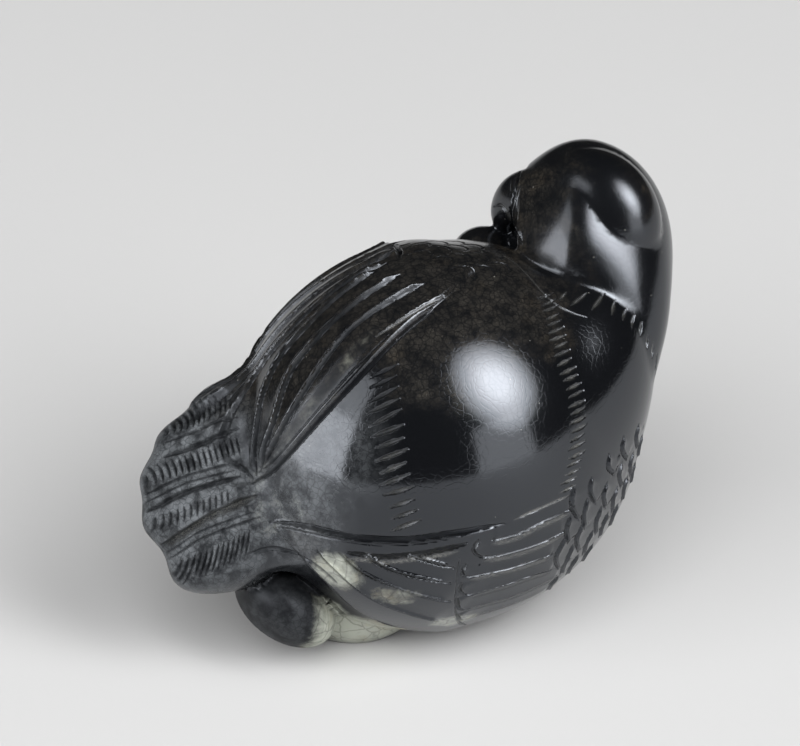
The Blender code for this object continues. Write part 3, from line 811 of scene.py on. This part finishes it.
def carvedBird():
    shape = roughBlank()
    putPlaces(shape, evenOut(shape))
    print("blank on the form:", len(shape.verts), "points")
    for wanted, close in bird["meshSteps"]:
        refine(shape, wanted, close)
    cutOff(shape, (0, 0, bird["groundOff"]), (0, 0, -1))
    bmesh.ops.triangulate(shape, faces=shape.faces)
    bmesh.ops.recalc_face_normals(shape, faces=shape.faces)
    shape.verts.index_update()
    p = placesOf(shape)
    out = outOfStone(p)
    relief = reliefOf(p, out)
    sole = p[:, 2] < bird["groundOff"] + 0.01
    height = np.where(sole, 0.0, relief["height"])
    # the way that the carved surface faces, from the slope of the relief
    sideways = np.cross(out, (0.31, 0.52, 0.79))
    sideways /= np.linalg.norm(sideways, axis=1)[:, None]
    across = np.cross(out, sideways)
    reach = bird["slopeReach"]
    facing = out.copy()
    for way in (sideways, across):
        rise = reliefOf(p + reach * way, out)["height"] - reliefOf(p - reach * way, out)["height"]
        facing -= np.clip(rise / (2 * reach), -1.5, 1.5)[:, None] * way
    facing /= np.linalg.norm(facing, axis=1)[:, None]
    carved = p + out * height[:, None]
    middle = (carved.min(0) + carved.max(0)) / 2
    middle[2] = bird["groundOff"]
    placed = (carved - middle) / 1000 + standing
    thing = shapeObject("jadeParrot", shape)
    mesh = thing.data
    mesh.vertices.foreach_set("co", placed.ravel())
    values = {"dust": relief["dust"], "polish": relief["polish"], **stoneZones(p)}
    for name, value in values.items():
        layer = mesh.attributes.new(name, "FLOAT", "POINT")
        layer.data.foreach_set("value", value)
    mesh.shade_smooth()
    corner = np.zeros(len(mesh.loops), int)
    mesh.loops.foreach_get("vertex_index", corner)
    normals = facing[corner]
    onSole = np.repeat([all(sole[v] for v in face.vertices) for face in mesh.polygons], 3)
    normals[onSole] = (0, 0, -1)
    mesh.normals_split_custom_set(normals.tolist())
    mesh.update()
    print("carved:", len(mesh.polygons), "triangles")
    return thing, middle


parrot, birdMiddle = carvedBird()


# Materials
def linearColour(code):
    parts = [int(code[i:i + 2], 16) / 255 for i in (1, 3, 5)]
    return tuple(c / 12.92 if c <= 0.04045 else ((c + 0.055) / 1.055) ** 2.4 for c in parts) + (1.0,)


def addNode(tree, kind, settings=None, inputs=None):
    # one node with its settings; each input is a fixed value, or the socket that feeds it
    node = tree.nodes.new(kind)
    for name, value in (settings or {}).items():
        setattr(node, name, value)
    for name, value in (inputs or {}).items():
        if isinstance(value, bpy.types.NodeSocket):
            tree.links.new(value, node.inputs[name])
        else:
            node.inputs[name].default_value = value
    return node


def newMaterial(name):
    material = bpy.data.materials.new(name)
    material.use_nodes = True
    return material, material.node_tree, material.node_tree.nodes["Principled BSDF"]


# Nephrite, ground and polished: nearly black and glassy, with a brown crackled skin over the
# top, pale grey-green clouds at the feet, dust in the cuts, and painted shade that darkens the cuts.
jade = {
    "black": "#0a0b0d",
    "brown": "#2d2b28",
    "rust": "#353029",
    "pale": "#a3a69b",
    "paleStain": "#857a5c",
    "grey": "#5a5d60",
    "dust": "#8f8e88",
    "stir": 1.6,           # mm across the waves that bend the crackle
    "stirReach": 0.7,      # mm
    "crackle": 0.75,       # mm between the crackle's lines
    "fineCrackle": 0.33,
    "veins": 2.1,          # mm between the dark veins of the pale clouds
    "clouds": 5.0,         # mm across the clouds
    "patches": 1.8,        # mm across the lighter and darker patches of each colour
    "grit": 0.12,          # mm, the dust's grain, drawn coarse enough to show
    "specks": 1.5,         # mm between bright grains of dust
    "relief": 0.02,        # mm, the height of the crackle in the polish
}


def darkJade():
    # polished nephrite: a black, deep and glassy stone under a thin brown skin
    material, tree, shader = newMaterial("darkNephriteJade")
    zone = {name: addNode(tree, "ShaderNodeAttribute", {"attribute_name": name}).outputs["Fac"]
            for name in ("brown", "pale", "grey", "matte", "polish", "dust")}
    colours = {name: linearColour(value) for name, value in jade.items() if isinstance(value, str)}
    scale = {name: 1000.0 / value for name, value in jade.items() if isinstance(value, float)}

    # patterns in the stone
    place = addNode(tree, "ShaderNodeTexCoord").outputs["Object"]
    stir = addNode(tree, "ShaderNodeTexNoise", None, {"Vector": place, "Scale": scale["stir"], "Detail": 3.0})
    stirred = addNode(tree, "ShaderNodeVectorMath", {"operation": "MULTIPLY_ADD"},
                      {0: stir.outputs["Color"], 1: (jade["stirReach"] / 1000,) * 3, 2: place}).outputs[0]
    lines = {name: addNode(tree, "ShaderNodeTexVoronoi", {"feature": "DISTANCE_TO_EDGE"},
                           {"Vector": stirred, "Scale": scale[name]}).outputs["Distance"]
             for name in ("crackle", "fineCrackle", "veins")}
    noise = {"clouds": (place, 6.0, 0.6), "patches": (stirred, 4.0, 0.65), "grit": (place, 2.0, 0.7)}
    for name, (over, detail, rough) in noise.items():
        fineness = {"Vector": over, "Scale": scale[name], "Detail": detail, "Roughness": rough}
        noise[name] = addNode(tree, "ShaderNodeTexNoise", None, fineness).outputs["Fac"]
    dots = addNode(tree, "ShaderNodeTexVoronoi", None, {"Vector": place, "Scale": scale["specks"]})
    chance = addNode(tree, "ShaderNodeSeparateColor", None, {"Color": dots.outputs["Color"]})

    # sums: one value times an amount, plus another
    addedTo = {"operation": "MULTIPLY_ADD"}
    sums = {
        "brown": (noise["clouds"], 1.3, zone["brown"]),
        "pale": (noise["patches"], 0.9, zone["pale"]),
        # painted shade: the less polish a place keeps, the darker its colour, so the cuts look shaded
        "cut": (zone["polish"], -0.85, 0.85),
    }
    for name, values in sums.items():
        sums[name] = addNode(tree, "ShaderNodeMath", addedTo, dict(enumerate(values))).outputs[0]

    # each value spread smoothly from one range over another
    spread = {
        "brown": (sums["brown"], 1.0, 1.5, 0.0, 1.0),
        "brownCells": (lines["crackle"], 0.0, 0.12, 0.25, 1.0),
        "fineCells": (lines["fineCrackle"], 0.0, 0.16, 0.55, 1.0),
        "brownPatches": (noise["patches"], 0.3, 0.72, 0.1, 1.0),
        "rust": (noise["clouds"], 0.5, 0.75, 0.0, 1.0),
        "greyCells": (lines["crackle"], 0.0, 0.1, 0.5, 1.0),
        "greyPatches": (noise["patches"], 0.32, 0.68, 0.1, 1.0),
        "pale": (sums["pale"], 0.7, 1.5, 0.0, 1.0),
        "stain": (noise["clouds"], 0.45, 0.75, 0.0, 1.0),
        "veins": (lines["veins"], 0.0, 0.06, 0.4, 0.0),
        "few": (chance.outputs[0], 0.6, 0.95, 0.0, 1.0),
        "specks": (dots.outputs["Distance"], 0.03, 0.06, 0.8, 0.0),
        "grain": (noise["grit"], 0.42, 0.62, 0.0, 1.0),
        "rough": (zone["polish"], 0.0, 1.0, 0.327, 0.077),
        "shine": (zone["matte"], 0.0, 1.0, 0.5, 0.1),
        "relief": (lines["crackle"], 0.0, 0.08, 0.0, 0.8),
    }
    ends = ("Value", "From Min", "From Max", "To Min", "To Max")
    for name, values in spread.items():
        spread[name] = addNode(tree, "ShaderNodeMapRange", {"interpolation_type": "SMOOTHSTEP"},
                               dict(zip(ends, values))).outputs[0]

    # how much shows of the brown skin, the grey stone of the tail, and the bright specks
    shown = {
        "brown": (spread["brown"], spread["brownCells"], spread["fineCells"], spread["brownPatches"]),
        "grey": (zone["grey"], spread["greyCells"], spread["greyPatches"]),
        "specks": (spread["specks"], spread["few"]),
    }
    for name, (product, *factors) in shown.items():
        for factor in factors:
            product = addNode(tree, "ShaderNodeMath", {"operation": "MULTIPLY", "use_clamp": True},
                              {0: product, 1: factor}).outputs[0]
        shown[name] = product
    dusty = addNode(tree, "ShaderNodeMath", addedTo,
                    {0: zone["dust"], 1: spread["grain"], 2: shown["specks"]}).outputs[0]

    # layers of colour over the black stone; painted shade darkens the cuts towards black, and some hold dust and
    # polishing powder
    layers = {
        "skin": (colours["brown"], (spread["rust"], colours["rust"])),
        "cloud": (colours["pale"], (spread["stain"], colours["paleStain"]), (spread["veins"], colours["brown"])),
    }
    layers["stone"] = (colours["black"], (shown["brown"], "skin"), (shown["grey"], colours["grey"]),
                       (spread["pale"], "cloud"), (sums["cut"], colours["black"]), (dusty, colours["dust"]))
    for name, (colour, *over) in layers.items():
        for amount, layer in over:
            mixed = {0: amount, 6: colour, 7: layers[layer] if isinstance(layer, str) else layer}
            colour = addNode(tree, "ShaderNodeMix", {"data_type": "RGBA"}, mixed).outputs[2]
        layers[name] = colour
    tree.links.new(layers["stone"], shader.inputs["Base Color"])

    # glassy on the open faces, duller in the cuts, on the matte zones and on the pale clouds;
    # and a trace of the crackle in the polish
    added = {"rough": ((zone["matte"], 0.34), (spread["pale"], 0.12), (noise["grit"], 0.08)),
             "relief": ((noise["patches"], 0.35), (noise["grit"], 0.12))}
    for name, parts in added.items():
        for value, amount in parts:
            spread[name] = addNode(tree, "ShaderNodeMath", addedTo,
                                   {0: value, 1: amount, 2: spread[name]}).outputs[0]
    tree.links.new(spread["rough"], shader.inputs["Roughness"])
    tree.links.new(spread["shine"], shader.inputs["Specular IOR Level"])
    bump = addNode(tree, "ShaderNodeBump", None,
                   {"Height": spread["relief"], "Strength": 0.17, "Distance": jade["relief"] / 1000})
    tree.links.new(bump.outputs["Normal"], shader.inputs["Normal"])
    shader.inputs["IOR"].default_value = 1.68
    shader.inputs["Specular Tint"].default_value = linearColour("#eaf0fa")
    return material


parrot.data.materials.clear()
parrot.data.materials.append(darkJade())
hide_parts("parrot_carving")
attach(parrot, "root")


# Studio, in metres: a pale table, an oval softbox over the bird's back, a fill light and three
# plain panels. Each light is given by the degrees around and up where it stands, its half
# angles as seen from the bird, and how bright it looks.
studio = {
    "floorHalf": 2.2,
    "floorColour": "#bbbbbb",
    "aimHeight": 0.03,
    "watts": 4.0,  # to the square metre, for a lamp's face to look 1.0 bright
    "softbox": {"around": -62.0, "up": 40.0, "distance": 1.6, "apart": 0.01, "tall": 1.45, "brightness": 12.0,
                "halfAngles": (6.0, 9.0, 12.0, 15.5, 19.0), "mirrored": True},
    # fills the shadows only: the stone doesn't mirror it
    "fill": {"around": -128.0, "up": 50.0, "distance": 1.7, "apart": 0.0, "tall": 1.0, "brightness": 4.2,
             "halfAngles": (22.0,), "mirrored": False},
    # panels that stand upright, from one angle up to another
    "sidePanel": {"around": -178.0, "distance": 1.1, "halfWide": 22.0, "from": 0.0, "to": 34.0, "brightness": 3.8},
    "highPanel": {"around": -178.0, "distance": 1.1, "halfWide": 22.0, "from": 34.0, "to": 57.0, "brightness": 1.7},
    "lowPanel": {"around": -72.0, "distance": 1.5, "halfWide": 14.0, "from": 0.0, "to": 24.0, "brightness": 1.6},
}


def paleFloor():
    shape = bmesh.new()
    bmesh.ops.create_grid(shape, x_segments=1, y_segments=1, size=studio["floorHalf"])
    floor = shapeObject("paleTable", shape)
    # board with a matt white lacquer: even and pale, and the stone's shadow falls on it softly
    material, tree, shader = newMaterial("matteTableBoard")
    shader.inputs["Base Color"].default_value = linearColour(studio["floorColour"])
    shader.inputs["Roughness"].default_value = 0.7
    floor.data.materials.append(material)


def areaLight(name, shape, size, place, facing, brightness):
    lamp = bpy.data.lights.new(name, "AREA")
    lamp.shape = shape
    lamp.size, lamp.size_y = size
    area = size[0] * size[1] * (1.0 if shape == "RECTANGLE" else math.pi / 4)
    lamp.energy = brightness * area * studio["watts"]
    thing = bpy.data.objects.new(name, lamp)
    bpy.context.scene.collection.objects.link(thing)
    thing.location = place
    thing.rotation_euler = facing.to_track_quat("Z", "Y").to_euler()
    return thing


def towards(around, up):
    around, up = math.radians(around), math.radians(up)
    return Vector((math.cos(up) * math.cos(around), math.cos(up) * math.sin(around), math.sin(up)))


def studioLights():
    middle = Vector((0.0, 0.0, studio["aimHeight"]))
    for name in ("softbox", "fill"):
        box = studio[name]
        way = towards(box["around"], box["up"])
        for k, half in enumerate(box["halfAngles"]):
            # ovals one behind the other, so that the light falls off softly to its rim
            distance = box["distance"] + box["apart"] * k
            size = 2 * distance * math.tan(math.radians(half))
            lamp = areaLight(name + str(k), "ELLIPSE", (size, size * box["tall"]), middle + way * distance, way,
                             box["brightness"] / len(box["halfAngles"]))
            lamp.visible_glossy = box["mirrored"]
    for name in ("sidePanel", "highPanel", "lowPanel"):
        panel = studio[name]
        way = towards(panel["around"], 0.0)
        wide = 2 * panel["distance"] * math.tan(math.radians(panel["halfWide"]))
        low, high = (panel["distance"] * math.tan(math.radians(panel[end])) for end in ("from", "to"))
        place = way * panel["distance"] + Vector((0.0, 0.0, (low + high) / 2))
        areaLight(name, "RECTANGLE", (wide, high - low), place, way, panel["brightness"])


paleFloor()
studioLights()

world = bpy.data.worlds.new("studioDark")
world.use_nodes = True
world.node_tree.nodes["Background"].inputs["Color"].default_value = (1, 1, 1, 1)
world.node_tree.nodes["Background"].inputs["Strength"].default_value = 0.02
bpy.context.scene.world = world

# Camera: above the bird's back, from behind its right wing
view = {"azimuth": -30.0, "elevation": 32.0, "distance": 0.6, "pixelsPerMetre": 8700.0, "aimPixel": (437, 435),
        "frame": (800, 746), "sensor": 36.0, "reach": (0.05, 20.0)}


def photoCamera():
    turn, tilt = math.radians(view["azimuth"]), math.radians(view["elevation"])
    back = Vector((math.sin(turn) * math.cos(tilt), -math.cos(turn) * math.cos(tilt), math.sin(tilt)))
    right = Vector((math.cos(turn), math.sin(turn), 0.0))
    up = back.cross(right)
    focal = view["pixelsPerMetre"] * view["distance"]  # in pixels
    x, y = (view["aimPixel"][i] - view["frame"][i] / 2 for i in range(2))
    aim = Vector((bird["bodyCentre"] - birdMiddle) / 1000 + standing)
    eye = aim + (back - right * (x / focal) + up * (y / focal)) * view["distance"]
    lens = bpy.data.cameras.new("photoCamera")
    lens.sensor_fit, lens.sensor_width = "HORIZONTAL", view["sensor"]
    lens.lens = focal / view["frame"][0] * view["sensor"]
    lens.clip_start, lens.clip_end = view["reach"]
    thing = bpy.data.objects.new("photoCamera", lens)
    bpy.context.scene.collection.objects.link(thing)
    thing.matrix_world = Matrix.Translation(eye) @ Matrix((right, up, back)).transposed().to_4x4()
    bpy.context.scene.camera = thing


photoCamera()
bpy.context.scene.view_settings.view_transform = "Standard"
print("lights and camera in place")
